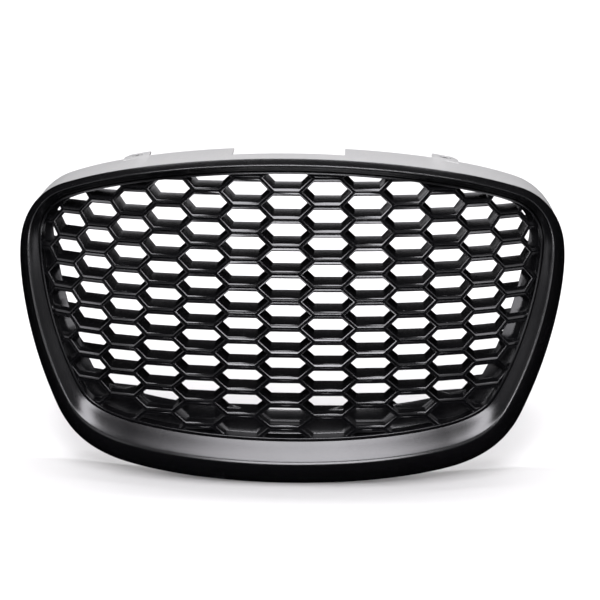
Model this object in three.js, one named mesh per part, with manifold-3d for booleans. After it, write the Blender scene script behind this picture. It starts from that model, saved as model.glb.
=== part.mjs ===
// Front grille for a car: a black bezel ring, the light grey carrier frame behind it, a honeycomb
// mesh insert, and the pan-head screws that clamp the three together from the back.
// Millimetres. +X to the viewer's right, +Y to the back, +Z up. The front faces -Y.
import * as THREE from "three";
import { mergeVertices } from "three/addons/utils/BufferGeometryUtils.js";
import Module from "manifold-3d";

const wasm = await Module();
wasm.setup();

// Reference surface: the depth of the honeycomb's front, swept back at the sides and leaning back
// towards the top. Coefficients are millimetres per (100 mm) to the power that follows.
const SWEEP_SQUARE = 3.95;
const SWEEP_FOURTH = 0.43;
const LEAN = 20;
const LEAN_SQUARE = 8.3;

// Bezel ring: the ridge line seen from the front, right half, from the top centre to the bottom centre.
const RIDGE_TOP = 162.5;
const RIDGE_BOTTOM = -167;
const RIDGE_CURVES = [
  [100, 162.5, 200, 150, 262, 126],
  [287, 116, 304.5, 92, 304.5, 62],
  [304.5, 15, 281, -62, 252, -112],
  [238, -135, 218, -144, 190, -151],
  [140, -161, 70, RIDGE_BOTTOM, 0, RIDGE_BOTTOM],
];
const RING_STEPS = 80;
const RIDGE_FORWARD = 22;
const OUTER_EDGE_FORWARD = 5;
const SEAM_FORWARD = 5;
const BEZEL_EDGE_BACK = -1;
const RETURN_BACK = 14.5;
const BEZEL_WALL = 2.6;

// Carrier frame: a wall that carries on from the bezel's outer edge, and a web across the channel.
const CARRIER_WALL = 2.6;
const CARRIER_FRONT = -0.6;
const CARRIER_DEPTH_LOW = 24;
const CARRIER_DEPTH_TOP = 41;
const CARRIER_RISE = 0.16;
const WEB_FRONT = 15;
const WEB_BACK = 17.5;
const NOTCH_HALF_WIDTH = 64;
const NOTCH_DEPTH = 20;
const NOTCH_BOTTOM = 140;

// Upper mounting tabs and lower locating tongues, both moulded on the carrier frame.
const TAB_X = 175;
const TAB_WIDTH = 31;
const TAB_LENGTH = 15;
const TAB_THICK = 2.6;
const TAB_CHAMFER = 7;
const TAB_HOLE_RADIUS = 3.6;
const TAB_SLOT_HALF_LENGTH = 7;
const TAB_SLOT_HALF_WIDTH = 1.7;
const TONGUE_X = 110;
const TONGUE_WIDTH = 26;
const TONGUE_LENGTH = 20;
const TONGUE_THICK = 3;
const TONGUE_DROP = 26;
const TONGUE_OVERLAP = 6;

// Honeycomb: columns of wide hexagons, every second column half a row lower.
const COLUMN_PITCH = 48;
const ROW_PITCH = 29.15;
const FLAT_HALF_LENGTH = 15.5;
const COLUMNS_EACH_SIDE = 7;
const ROWS_EACH_SIDE = 7;
const BAR_HALF_HEIGHT = 4.4;
const DIAGONAL_HALF_WIDTH = 2.9;
const DRAFT_BAR = 1.5;
const DRAFT_DIAGONAL = 1.3;
const WRAP_RADIUS = 390;
const NARROWING = -0.031;
const NARROWING_SQUARE = -0.008;
const MESH_DEPTH = 27;
const MESH_DEPTH_GROWTH = 4;
const RIB_HOLLOW_FRONT = 7;

// Basket round the honeycomb: lip and skirt wall, blanked border, and the clamping flange.
const SEAM_GAP = 0.8;
const SKIRT_WALL = 2.5;
const LIP_FORWARD = 4.5;
const BORDER_FRONT = 10;
const BORDER_BACK = 12.5;
const CLAMP_FRONT = 18.6;
const CLAMP_BACK = 20.8;

// Screws and the bosses that they go into. Places are shares of the half ring from the top centre.
const SCREW_SHARES = [0.09, 0.235, 0.46, 0.6, 0.77, 0.92];
const TOP_SCREWS = 2;
const TOP_SCREW_INSET = 4.6;
const SCREW_INSET = 8.7;
const SCREW_HEAD_RADIUS = 3.9;
const SCREW_HEAD_HEIGHT = 2.7;
const SCREW_SHANK_RADIUS = 1.4;
const SCREW_LENGTH = 18;
const SCREW_SIDES = 8;
const CLEARANCE_RADIUS = 2.2;
const BOSS_RADIUS = 3.4;
const BOSS_BORE_RADIUS = 1.8;
const BOSS_FRONT = -4;
const BOSS_RIB_WALL = 1.8;
const BORE_DEPTH = 14;
const SEAT_RADIUS = 4.2;
const PIN_SIDES = 8;
const FREE_GAP = 0.35;

function faceDepth(x, z) {
  const across = x / 100;
  const up = z / 100;
  const sweep = SWEEP_SQUARE * across ** 2 + SWEEP_FOURTH * across ** 4;
  return sweep + LEAN * up + LEAN_SQUARE * up ** 2;
}

// Steepness of the reference surface: millimetres of depth for each millimetre across.
function steepness(x, z) {
  const step = 0.5;
  const slopeX = (faceDepth(x + step, z) - faceDepth(x - step, z)) / (2 * step);
  const slopeZ = (faceDepth(x, z + step) - faceDepth(x, z - step)) / (2 * step);
  return Math.hypot(slopeX, slopeZ);
}

function solidOf(geometry) {
  const bare = geometry.clone();
  bare.deleteAttribute("normal");
  bare.deleteAttribute("uv");
  const merged = mergeVertices(bare, 1e-4);
  return new wasm.Manifold(
    new wasm.Mesh({
      numProp: 3,
      vertProperties: merged.attributes.position.array,
      triVerts: new Uint32Array(merged.index.array),
    }),
  );
}

function geometryOf(solid) {
  const mesh = solid.getMesh();
  const geometry = new THREE.BufferGeometry();
  geometry.setAttribute("position", new THREE.BufferAttribute(mesh.vertProperties, 3));
  geometry.setIndex(new THREE.BufferAttribute(mesh.triVerts, 1));
  geometry.computeVertexNormals();
  return geometry;
}

// Stations round the ring, clockwise from the top centre as seen from the front. Each has its place
// on the ridge line, its outward direction, and the widths of the bezel on either side of the ridge.
function ringStations() {
  const path = new THREE.Path();
  path.moveTo(0, RIDGE_TOP);
  for (const curve of RIDGE_CURVES) {
    path.bezierCurveTo(...curve);
  }
  const right = path.getSpacedPoints(RING_STEPS / 2);
  const left = right.slice(1, -1).reverse();
  const points = [...right, ...left.map((p) => new THREE.Vector2(-p.x, p.y))];
  return points.map((point, i) => {
    const before = points[(i + points.length - 1) % points.length];
    const after = points[(i + 1) % points.length];
    const along = after.clone().sub(before).normalize();
    const out = new THREE.Vector2(-along.y, along.x);
    return { point, out, ...ringWidths(out.y) };
  });
}

// The bezel is slim along the top and broad along the bottom: up is 1 at the top, -1 at the bottom.
function ringWidths(up) {
  const low = Math.max(-up, 0);
  const high = Math.max(up, 0);
  return {
    outer: 16.9 - 13.5 * up + 0.6 * up ** 2,
    cove: 11 - 7 * up + 4.5 * up ** 2,
    border: 19.5 - 15 * high + 12.5 * low,
    clamp: up > 0.7 ? 8.2 : 13.5,
    wallDepth: THREE.MathUtils.lerp(CARRIER_DEPTH_LOW, CARRIER_DEPTH_TOP, high),
    rise: CARRIER_RISE * high,
  };
}

function placeOn(station, outward, back) {
  const x = station.point.x + station.out.x * outward;
  const z = station.point.y + station.out.y * outward;
  return new THREE.Vector3(x, faceDepth(x, z) + back, z);
}

// Closed ring swept through all stations; section gives [outward, back] corners for one station.
// The left half is split into triangles the other way, so that the two halves mirror each other.
function ringSolid(stations, section) {
  const corners = stations.map((station) => section(station).map(([o, b]) => placeOn(station, o, b)));
  const count = corners[0].length;
  const indices = [];
  for (let i = 0; i < corners.length; i += 1) {
    const here = i * count;
    const next = ((i + 1) % corners.length) * count;
    for (let k = 0; k < count; k += 1) {
      const after = (k + 1) % count;
      if (i < corners.length / 2) {
        indices.push(here + k, next + k, next + after, here + k, next + after, here + after);
      } else {
        indices.push(here + k, next + k, here + after, next + k, next + after, here + after);
      }
    }
  }
  const geometry = new THREE.BufferGeometry().setFromPoints(corners.flat());
  geometry.setIndex(indices);
  return solidOf(geometry);
}

// Upright cylinder along Y at one screw place, between two depths.
function pinAt({ x, z }, front, back, radius) {
  const geometry = new THREE.CylinderGeometry(radius, radius, back - front, PIN_SIDES);
  geometry.translate(x, (front + back) / 2, z);
  return solidOf(geometry);
}

// Where the screws go. The boss ends short of the sloping web and the seat stands proud of the
// sloping clamping flange, each by as much as the slope needs over its own radius.
function screwPlaces(stations) {
  const places = [];
  for (const side of ["right", "left"]) {
    SCREW_SHARES.forEach((share, i) => {
      const step = Math.round((share * RING_STEPS) / 2);
      const station = stations[side === "right" ? step : RING_STEPS - step];
      const inset = i < TOP_SCREWS ? TOP_SCREW_INSET : SCREW_INSET;
      const { x, y: face, z } = placeOn(station, inset - station.cove, 0);
      const slope = steepness(x, z);
      const bossEnd = face + RETURN_BACK - slope * BOSS_RADIUS;
      const seat = face + CLAMP_BACK + slope * SEAT_RADIUS;
      const name = side + "_" + (i + 1);
      places.push({ name, x, z, face, slope, bossEnd, seat, inset, out: station.out });
    });
  }
  return places;
}

function bezelSection({ outer, cove }) {
  const inner = outer - BEZEL_WALL;
  return [
    [outer, BEZEL_EDGE_BACK],
    [outer, -OUTER_EDGE_FORWARD],
    [0.72 * outer, -12.8],
    [0.3 * outer, -19.6],
    [0, -RIDGE_FORWARD],
    [-0.16 * cove, -20.6],
    [-0.5 * cove, -13.4],
    [-cove, -SEAM_FORWARD],
    [-cove, RETURN_BACK],
    [BEZEL_WALL - 0.2 - cove, RETURN_BACK],
    [BEZEL_WALL - 0.2 - cove, -3],
    [0.3 - 0.5 * cove, -10.6],
    [0, -18.4],
    [0.6 * inner, -11.2],
    [inner, -3.5],
    [inner, BEZEL_EDGE_BACK],
  ].reverse();
}

// Thin rib that ties a boss to the bezel's inner return wall.
function bossRib({ x, z, face, slope, bossEnd, inset, out }) {
  const length = inset - 1.2;
  const height = bossEnd - face - BOSS_FRONT - slope * length;
  const rib = new THREE.BoxGeometry(length, height, BOSS_RIB_WALL);
  rib.translate(-length / 2, height / 2, 0);
  rib.rotateY(-Math.atan2(out.y, out.x));
  rib.translate(x, face + BOSS_FRONT, z);
  return solidOf(rib);
}

function bezelRing(stations, screws) {
  let solid = ringSolid(stations, bezelSection);
  for (const place of screws) {
    solid = solid.add(pinAt(place, place.face + BOSS_FRONT, place.bossEnd, BOSS_RADIUS));
    solid = solid.add(bossRib(place));
    solid = solid.subtract(pinAt(place, place.bossEnd - BORE_DEPTH, place.bossEnd + 5, BOSS_BORE_RADIUS));
  }
  return solid;
}

function carrierSection({ outer, cove, wallDepth, rise }) {
  const outside = outer - 0.3;
  const inside = outside - CARRIER_WALL;
  return [
    [outside, CARRIER_FRONT],
    [outside + rise * wallDepth, wallDepth],
    [inside + rise * wallDepth, wallDepth],
    [inside + rise * WEB_BACK, WEB_BACK],
    [0.6 - cove, WEB_BACK],
    [0.6 - cove, WEB_FRONT],
    [inside + rise * WEB_FRONT, WEB_FRONT],
    [inside, CARRIER_FRONT],
  ];
}

function tabShape() {
  const half = TAB_WIDTH / 2;
  const shape = new THREE.Shape();
  shape.moveTo(-half, -4);
  shape.lineTo(half, -4);
  shape.lineTo(half, TAB_LENGTH - TAB_CHAMFER);
  shape.lineTo(half - TAB_CHAMFER, TAB_LENGTH);
  shape.lineTo(-half, TAB_LENGTH);
  shape.closePath();
  const turn = Math.asin(TAB_SLOT_HALF_WIDTH / TAB_HOLE_RADIUS);
  const middle = TAB_LENGTH / 2;
  const hole = new THREE.Path();
  hole.moveTo(TAB_SLOT_HALF_LENGTH, middle - TAB_SLOT_HALF_WIDTH);
  hole.lineTo(TAB_SLOT_HALF_LENGTH, middle + TAB_SLOT_HALF_WIDTH);
  hole.absarc(0, middle, TAB_HOLE_RADIUS, turn, Math.PI - turn, false);
  hole.lineTo(-TAB_SLOT_HALF_LENGTH, middle + TAB_SLOT_HALF_WIDTH);
  hole.lineTo(-TAB_SLOT_HALF_LENGTH, middle - TAB_SLOT_HALF_WIDTH);
  hole.absarc(0, middle, TAB_HOLE_RADIUS, Math.PI + turn, -turn, false);
  hole.closePath();
  shape.holes.push(hole);
  return shape;
}

// Tab on the back edge of the carrier's top wall, in line with the wall. side is 1 right, -1 left.
function tabSolid(stations, side) {
  const top = stations.filter((s) => s.out.y > 0.7 && s.point.x * side > 0);
  const near = (s) => Math.abs(Math.abs(s.point.x) - TAB_X);
  const station = top.reduce((best, s) => (near(s) < near(best) ? s : best));
  const outward = station.outer - 0.3 + station.rise * station.wallDepth - TAB_THICK;
  const place = placeOn(station, outward, station.wallDepth);
  const along = new THREE.Vector3(station.out.y * side, 0, -station.out.x * side);
  const back = new THREE.Vector3(0, 1, 0).addScaledVector(
    new THREE.Vector3(station.out.x, 0, station.out.y),
    station.rise,
  );
  back.addScaledVector(along, -back.dot(along)).normalize();
  const up = along.clone().cross(back);
  const geometry = new THREE.ExtrudeGeometry(tabShape(), {
    depth: TAB_THICK,
    bevelEnabled: false,
    curveSegments: 6,
  });
  if (side < 0) {
    geometry.translate(0, 0, -TAB_THICK);
  }
  geometry.applyMatrix4(new THREE.Matrix4().makeBasis(along, back, up).setPosition(place));
  return solidOf(geometry);
}

// Flat tongue under the carrier's bottom wall that reaches back past its edge.
function tongueSolid(side) {
  const z = RIDGE_BOTTOM - TONGUE_DROP;
  const geometry = new THREE.BoxGeometry(TONGUE_WIDTH, TONGUE_LENGTH, TONGUE_THICK);
  const edge = faceDepth(TONGUE_X, z) + CARRIER_DEPTH_LOW;
  geometry.translate(TONGUE_X * side, edge + TONGUE_LENGTH / 2 - TONGUE_OVERLAP, z);
  return solidOf(geometry);
}

function carrierFrame(stations, screws) {
  let solid = ringSolid(stations, carrierSection);
  const notch = new THREE.BoxGeometry(2 * NOTCH_HALF_WIDTH, 100, 100);
  const start = faceDepth(NOTCH_HALF_WIDTH, RIDGE_TOP) + NOTCH_DEPTH;
  notch.translate(0, start + 50, NOTCH_BOTTOM + 50);
  solid = solid.subtract(solidOf(notch));
  for (const side of [-1, 1]) {
    solid = solid.add(tabSolid(stations, side)).add(tongueSolid(side));
  }
  for (const place of screws) {
    solid = solid.subtract(pinAt(place, place.bossEnd - 2, place.seat + 2, CLEARANCE_RADIUS));
  }
  return solid;
}

// Six corners of a hexagon cell about its centre, pulled in from the bars and from the diagonals.
function hexagon(bar, diagonal) {
  const half = ROW_PITCH / 2;
  const run = COLUMN_PITCH - 2 * FLAT_HALF_LENGTH;
  const slant = Math.hypot(run, half);
  const top = FLAT_HALF_LENGTH + (bar * run - diagonal * slant) / half;
  const side = COLUMN_PITCH - FLAT_HALF_LENGTH - (diagonal * slant) / half;
  const high = half - bar;
  return [[top, high], [side, 0], [top, -high], [-top, -high], [-side, 0], [-top, high]];
}

// Wraps the flat pattern round the grille: columns close up towards the sides and towards the top.
function wrapped(across, z, depth) {
  const up = z / 100;
  const narrowing = 1 + NARROWING * up + NARROWING_SQUARE * up ** 2;
  const x = WRAP_RADIUS * Math.sin(across / WRAP_RADIUS) * narrowing;
  return new THREE.Vector3(x, faceDepth(x, z) + depth, z);
}

function rearDepth(z) {
  return MESH_DEPTH + (MESH_DEPTH_GROWTH * z) / 100;
}

// The honeycomb as one closed sheet, wider than the opening that it is trimmed to. Each rib is
// hollowed from the back by a V groove, as a moulded rib is.
function honeycombSheet() {
  const points = [];
  const indices = [];
  const shared = new Map();
  const edges = new Map();
  const addPoint = (u, z, depth) => points.push(wrapped(u, z, depth)) - 1;
  const sharedPoint = (u, z, depth) => {
    const key = [u.toFixed(2), z.toFixed(2), depth].join();
    if (!shared.has(key)) {
      shared.set(key, addPoint(u, z, depth));
    }
    return shared.get(key);
  };
  const quad = (a, b, c, d) => indices.push(a, b, c, a, c, d);
  const joint = hexagon(0, 0);
  const mouth = hexagon(BAR_HALF_HEIGHT, DIAGONAL_HALF_WIDTH);
  const throat = hexagon(BAR_HALF_HEIGHT + DRAFT_BAR, DIAGONAL_HALF_WIDTH + DRAFT_DIAGONAL);
  for (let column = -COLUMNS_EACH_SIDE; column <= COLUMNS_EACH_SIDE; column += 1) {
    for (let row = -ROWS_EACH_SIDE; row <= ROWS_EACH_SIDE; row += 1) {
      const u = column * COLUMN_PITCH;
      const z = (row + (column % 2 ? 0.5 : 0)) * ROW_PITCH;
      const front = joint.map(([du, dz]) => sharedPoint(u + du, z + dz, 0));
      const rear = joint.map(([du, dz]) => sharedPoint(u + du, z + dz, RIB_HOLLOW_FRONT));
      const open = mouth.map(([du, dz]) => addPoint(u + du, z + dz, 0));
      const close = throat.map(([du, dz]) => addPoint(u + du, z + dz, rearDepth(z + dz)));
      for (let k = 0; k < 6; k += 1) {
        const n = (k + 1) % 6;
        quad(front[k], open[k], open[n], front[n]);
        quad(open[k], close[k], close[n], open[n]);
        quad(close[k], rear[k], rear[n], close[n]);
        const forward = front[k] + "," + front[n];
        const backward = front[n] + "," + front[k];
        if (edges.has(backward)) {
          edges.delete(backward);
        } else {
          edges.set(forward, [front[k], front[n], rear[n], rear[k]]);
        }
      }
    }
  }
  for (const rim of edges.values()) {
    quad(...rim);
  }
  const geometry = new THREE.BufferGeometry().setFromPoints(points);
  geometry.setIndex(indices);
  return solidOf(geometry);
}

// Straight prism inside the basket's skirt that trims the honeycomb sheet.
function trimPrism(stations) {
  const shape = new THREE.Shape(
    stations.map((station) => {
      const inward = station.cove + SEAM_GAP + SKIRT_WALL / 2;
      return new THREE.Vector2(
        station.point.x - station.out.x * inward,
        station.point.y - station.out.y * inward,
      );
    }),
  );
  const geometry = new THREE.ExtrudeGeometry(shape, { depth: 400, bevelEnabled: false });
  geometry.rotateX(Math.PI / 2);
  geometry.translate(0, 250, 0);
  return solidOf(geometry);
}

function basketSection({ point, cove, border, clamp }) {
  const outside = -cove - SEAM_GAP;
  const inside = outside - SKIRT_WALL;
  const rear = rearDepth(point.y);
  return [
    [outside, -LIP_FORWARD],
    [outside, CLAMP_FRONT],
    [clamp - cove, CLAMP_FRONT],
    [clamp - cove, CLAMP_BACK],
    [outside, CLAMP_BACK],
    [outside, rear],
    [inside, rear],
    [inside, BORDER_BACK],
    [-cove - border, BORDER_BACK],
    [-cove - border, BORDER_FRONT],
    [inside, BORDER_FRONT],
    [inside, -LIP_FORWARD],
  ];
}

// Trimming leaves slivers of no volume, so only the one real body is kept.
function largestBody(solid) {
  return solid.decompose().reduce((best, body) => (body.volume() > best.volume() ? body : best));
}

// Space behind the blanked border that the ribs are cleared out of.
function behindBorderSection({ cove, border }) {
  const middle = (BORDER_FRONT + BORDER_BACK) / 2;
  return [
    [-cove, middle],
    [-cove, 60],
    [0.3 - cove - border, 60],
    [0.3 - cove - border, middle],
  ];
}

// Space in front of the clamping flange, kept clear for the carrier's web.
function webSpaceSection({ cove, clamp }) {
  const middle = (CLAMP_FRONT + CLAMP_BACK) / 2;
  return [
    [clamp - cove + 1, 0],
    [clamp - cove + 1, middle],
    [-cove, middle],
    [-cove, 0],
  ];
}

// Round seats for the screw heads, standing on the sloping back of the clamping flange.
function screwSeats(stations, screws) {
  const pins = screws.map((place) => pinAt(place, place.face + WEB_BACK, place.seat, SEAT_RADIUS));
  return pins.reduce((all, pin) => all.add(pin)).subtract(ringSolid(stations, webSpaceSection));
}

function honeycombMesh(stations, screws) {
  let solid = honeycombSheet().intersect(trimPrism(stations));
  solid = solid.subtract(ringSolid(stations, behindBorderSection));
  solid = solid.add(ringSolid(stations, basketSection));
  solid = solid.add(screwSeats(stations, screws));
  for (const place of screws) {
    solid = solid.subtract(pinAt(place, place.bossEnd + 2, place.seat + 2, CLEARANCE_RADIUS));
  }
  return largestBody(solid);
}

function screwGeometry() {
  const profile = [
    [0, FREE_GAP - SCREW_LENGTH],
    [SCREW_SHANK_RADIUS, FREE_GAP + 2 - SCREW_LENGTH],
    [SCREW_SHANK_RADIUS, FREE_GAP],
    [SCREW_HEAD_RADIUS, FREE_GAP],
    [SCREW_HEAD_RADIUS, FREE_GAP + SCREW_HEAD_HEIGHT / 2],
    [0, FREE_GAP + SCREW_HEAD_HEIGHT],
  ];
  const points = profile.map(([r, y]) => new THREE.Vector2(r, y));
  return new THREE.LatheGeometry(points, SCREW_SIDES);
}

function blackPlastic() {
  return new THREE.MeshStandardMaterial({ color: 0x17171a, roughness: 0.32, flatShading: true });
}

function greyPlastic() {
  return new THREE.MeshStandardMaterial({ color: 0xc9c9c8, roughness: 0.6, flatShading: true });
}

function screwSteel() {
  return new THREE.MeshStandardMaterial({ color: 0x2b2b2d, roughness: 0.4, metalness: 0.9 });
}

function namedMesh(name, geometry, material) {
  const mesh = new THREE.Mesh(geometry, material);
  mesh.name = name;
  return mesh;
}

function buildGrille() {
  const grille = new THREE.Group();
  const stations = ringStations();
  const screws = screwPlaces(stations);
  grille.add(namedMesh("bezel_ring", geometryOf(bezelRing(stations, screws)), blackPlastic()));
  grille.add(namedMesh("carrier_frame", geometryOf(carrierFrame(stations, screws)), greyPlastic()));
  grille.add(namedMesh("honeycomb_mesh", geometryOf(honeycombMesh(stations, screws)), blackPlastic()));
  for (const { x, z, seat, name } of screws) {
    const screw = namedMesh("screw_" + name, screwGeometry(), screwSteel());
    screw.position.set(x, seat, z);
    grille.add(screw);
  }
  return grille;
}

// The finished group is moved so that its bounding box is centred on the origin.
function centred(group) {
  const box = new THREE.Box3().setFromObject(group, true);
  group.position.sub(box.getCenter(new THREE.Vector3()));
  return group;
}

export default centred(buildGrille());
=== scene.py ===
"""Front grille: a satin black bezel ring, a honeycomb insert in its basket, the light grey carrier frame
behind them and the pan-head screws that clamp the three together. Metres; the front faces -Y, +Z is up."""

import math

import bmesh
import bpy
from bpy.props import FloatProperty, FloatVectorProperty, IntProperty, PointerProperty
from mathutils import Matrix, Vector


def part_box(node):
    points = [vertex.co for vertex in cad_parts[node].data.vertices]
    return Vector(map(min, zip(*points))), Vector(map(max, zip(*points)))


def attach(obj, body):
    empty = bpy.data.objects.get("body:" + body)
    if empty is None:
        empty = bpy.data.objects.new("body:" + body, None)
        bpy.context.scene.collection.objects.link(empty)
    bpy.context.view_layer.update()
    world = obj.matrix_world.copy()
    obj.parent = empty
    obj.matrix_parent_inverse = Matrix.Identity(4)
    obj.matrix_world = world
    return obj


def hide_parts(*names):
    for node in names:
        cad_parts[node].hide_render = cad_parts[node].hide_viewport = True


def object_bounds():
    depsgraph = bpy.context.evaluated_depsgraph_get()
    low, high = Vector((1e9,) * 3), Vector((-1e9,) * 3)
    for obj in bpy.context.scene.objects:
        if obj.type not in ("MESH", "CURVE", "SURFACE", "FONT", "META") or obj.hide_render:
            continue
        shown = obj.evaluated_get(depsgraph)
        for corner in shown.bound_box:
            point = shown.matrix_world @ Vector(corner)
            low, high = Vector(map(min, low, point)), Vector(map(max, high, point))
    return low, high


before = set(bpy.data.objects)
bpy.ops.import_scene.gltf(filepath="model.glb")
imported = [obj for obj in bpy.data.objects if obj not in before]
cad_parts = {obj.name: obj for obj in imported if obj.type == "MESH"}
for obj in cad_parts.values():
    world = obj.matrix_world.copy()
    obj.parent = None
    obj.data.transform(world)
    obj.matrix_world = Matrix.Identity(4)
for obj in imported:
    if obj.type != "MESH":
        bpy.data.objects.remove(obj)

CAD_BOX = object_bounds()

bl_info = {
    "name": "Honeycomb Front Grille",
    "version": (1, 0, 0),
    "blender": (4, 5, 0),
    "location": "View3D > Sidebar > Grille",
    "description": "Builds a car front grille with a honeycomb insert round a packed frame",
    "category": "Object",
}

MM = 0.001

# Ridge line of the bezel seen from the front, right half, top centre to bottom centre, in millimetres.
RIDGE_START = (0, 162.5)
RIDGE_CURVES = (
    (100, 162.5, 200, 150, 262, 126),
    (287, 116, 304.5, 92, 304.5, 62),
    (304.5, 15, 281, -62, 252, -112),
    (238, -135, 218, -144, 190, -151),
    (140, -161, 70, -167, 0, -167),
)
RIDGE_BOTTOM = -167
HALF_STATIONS = 120
DIRECTION_REACH = 3  # stations on either side that the outward direction is taken from
CURVE_SAMPLES = 64

# Reference surface of the face: depth in millimetres for each power of a distance in units of 100 mm.
SURFACE_UNIT = 100
SWEEP_SQUARE = 3.95
SWEEP_FOURTH = 0.43
LEAN = 20
LEAN_SQUARE = 8.3

# Widths of the ring's parts in millimetres, by how far its outward direction points up (1) or down (-1): a
# level part, a part that follows it and a part that follows its square.
OUTER_WIDTH = (16.9, -13.5, 0.6)
COVE_WIDTH = (11, -7, 4.5)
BORDER_SIDE, BORDER_TOP_LOSS, BORDER_BOTTOM_GAIN = 19.5, 15, 12.5
CLAMP_TOP, CLAMP_ROUND, TOP_DIRECTION = 8.2, 13.5, 0.7
CORNER_REACH = 0.48  # most of a side that a rounded corner may take

# Depths behind (+) and in front of (-) the reference surface, and walls and gaps, in millimetres.
RIDGE_FORWARD = 22
OUTER_EDGE_FORWARD = 5
OUTER_EDGE_BACK = -1
SEAM_FORWARD = 5
RETURN_BACK = 14.5
RETURN_WALL = 2.4
BEZEL_WALL = 2.6
CARRIER_WALL = 2.6
CARRIER_GAP = 0.3
WEB_GAP = 0.6
CARRIER_FRONT = -0.6
CARRIER_DEPTH_LOW = 24
CARRIER_DEPTH_TOP = 41
CARRIER_RISE = 0.16
WEB_FRONT, WEB_BACK = 15, 17.5
SEAM_GAP = 0.8
SKIRT_WALL = 2.5
LIP_FORWARD = 4.5
BORDER_FRONT, BORDER_BACK = 10, 12.5
CLAMP_FRONT, CLAMP_BACK = 18.6, 20.8
MESH_DEPTH = 27
HOLLOW_FRONT = 7
TRIM_BACK, TRIM_LENGTH = 250, 400
MESH_DEPTH_GROWTH = 4

# Notch, tabs and tongues of the carrier, in millimetres.
NOTCH_HALF_WIDTH, NOTCH_DEPTH, NOTCH_BOTTOM, NOTCH_CUT = 64, 20, 140, 100
TAB_X, TAB_WIDTH, TAB_LENGTH, TAB_THICK, TAB_CHAMFER = 175, 31, 15, 2.6, 7
TAB_HOLE_RADIUS, TAB_SLOT_HALF_LENGTH, TAB_SLOT_HALF_WIDTH = 3.6, 7, 1.7
TONGUE_X, TONGUE_WIDTH, TONGUE_LENGTH, TONGUE_THICK = 110, 26, 20, 3
TONGUE_DROP, TONGUE_OVERLAP = 26, 6

# Screws and bosses, in millimetres. Places are shares of the half ring from the top centre.
SCREW_SHARES = (0.09, 0.235, 0.46, 0.6, 0.77, 0.92)
CAD_HALF_STATIONS = 40
TOP_SCREWS, TOP_SCREW_INSET, SCREW_INSET = 2, 4.6, 8.7
SCREW_LENGTH, SCREW_HEAD_RADIUS, SCREW_HEAD_HEIGHT, SCREW_SHANK_RADIUS = 18, 3.9, 2.7, 1.4
CLEARANCE_RADIUS, BOSS_RADIUS, BOSS_BORE_RADIUS, BOSS_FRONT = 2.2, 3.4, 1.8, -4
BORE_DEPTH, SEAT_RADIUS, FREE_GAP = 14, 4.2, 0.35
BORE_OVERRUN, CUT_OVERRUN = 5, 2  # how far a cut runs on past the face that it opens
RIB_INSET, RIB_THICK = 1.2, 1.8
SCREW_TIP_RADIUS, SCREW_TIP_LENGTH = 0.5, 1.2
THREAD_PITCH, THREAD_DEPTH, THREAD_START, THREAD_END = 1.1, 0.35, 2, 1.5
CROSS_SIZE, CROSS_DROP = (4.2, 2.6, 0.95), 0.5
SCREW_SIDES, PIN_SIDES = 20, 28

# Camera in the grille's own design frame, in millimetres.
CAMERA_PLACE = (76.765, -1248.206, 376.110)
CAMERA_TARGET = (16.90, 0, 17.78)
CAMERA_LENS = 70.36
SENSOR_WIDTH = 36

# Studio, in metres.
FLOOR_RADIUS = 1.5
SWEEP_RADIUS = 2.6
SWEEP_BEND = 1.2
WALL_HEIGHT = 2.2
FLOOR_SIDES, BEND_STEPS, FLOOR_WELD = 96, 12, 1e-5
WORLD_STRENGTH = 0.45

# Soft lights: name, place, what they face, width and height in metres, and radiance.
LIGHT_COLOUR = (0.965, 0.955, 1.0)
LIGHTS = (
    ("overhead_box", (0, -1.3, 1.9), (0, -0.3, 0), (0.95, 1.7), 11),
    ("front_box", (0.1, -2.3, 0.32), (0, 0, 0.1), (1.2, 0.7), 14),
    ("left_box", (-1.9, -1.5, 0.5), (-0.2, 0, 0), (0.5, 0.9), 3.5),
    ("right_box", (1.9, -1.5, 0.5), (0.2, 0, 0), (0.5, 0.9), 3.5),
    ("left_panel", (-2.3, -1.7, 0.5), (-0.2, 0, 0), (2.2, 1.6), 1.0),
    ("right_panel", (2.3, -1.7, 0.5), (0.2, 0, 0), (2.2, 1.6), 1.0),
    ("back_strip", (-0.1, 2.6, 0.8), (0, 0, 0), (1.5, 0.4), 1.2),
    ("wall_box", (0, 0.6, 2.4), (0, 3.4, 0.6), (2.4, 0.6), 34),
)

# ---------------------------------------------------------------- shape rules


def face_depth(x, z):
    across, up = x / SURFACE_UNIT, z / SURFACE_UNIT
    return SWEEP_SQUARE * across**2 + SWEEP_FOURTH * across**4 + LEAN * up + LEAN_SQUARE * up**2


def steepness(x, z):
    step = 0.5
    slope_x = (face_depth(x + step, z) - face_depth(x - step, z)) / (2 * step)
    slope_z = (face_depth(x, z + step) - face_depth(x, z - step)) / (2 * step)
    return math.hypot(slope_x, slope_z)


def rear_depth(z):
    return MESH_DEPTH + MESH_DEPTH_GROWTH * z / SURFACE_UNIT


def ridge_points(count):
    """Points spaced evenly along the right half of the ridge line."""
    dense = [Vector(RIDGE_START)]
    for ax, ay, bx, by, cx, cy in RIDGE_CURVES:
        start = dense[-1].copy()
        for i in range(1, CURVE_SAMPLES + 1):
            t = i / CURVE_SAMPLES
            s = 1 - t
            dense.append(
                start * s**3 + Vector((ax, ay)) * 3 * s * s * t
                + Vector((bx, by)) * 3 * s * t * t + Vector((cx, cy)) * t**3
            )
    run = [0.0]
    for a, b in zip(dense, dense[1:]):
        run.append(run[-1] + (b - a).length)
    points, k = [], 0
    for i in range(count + 1):
        want = run[-1] * i / count
        while k < len(run) - 2 and run[k + 1] < want:
            k += 1
        share = (want - run[k]) / (run[k + 1] - run[k])
        points.append(dense[k].lerp(dense[k + 1], share))
    return points


def ruled_width(rule, up):
    level, slope, square = rule
    return level + slope * up + square * up**2


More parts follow.
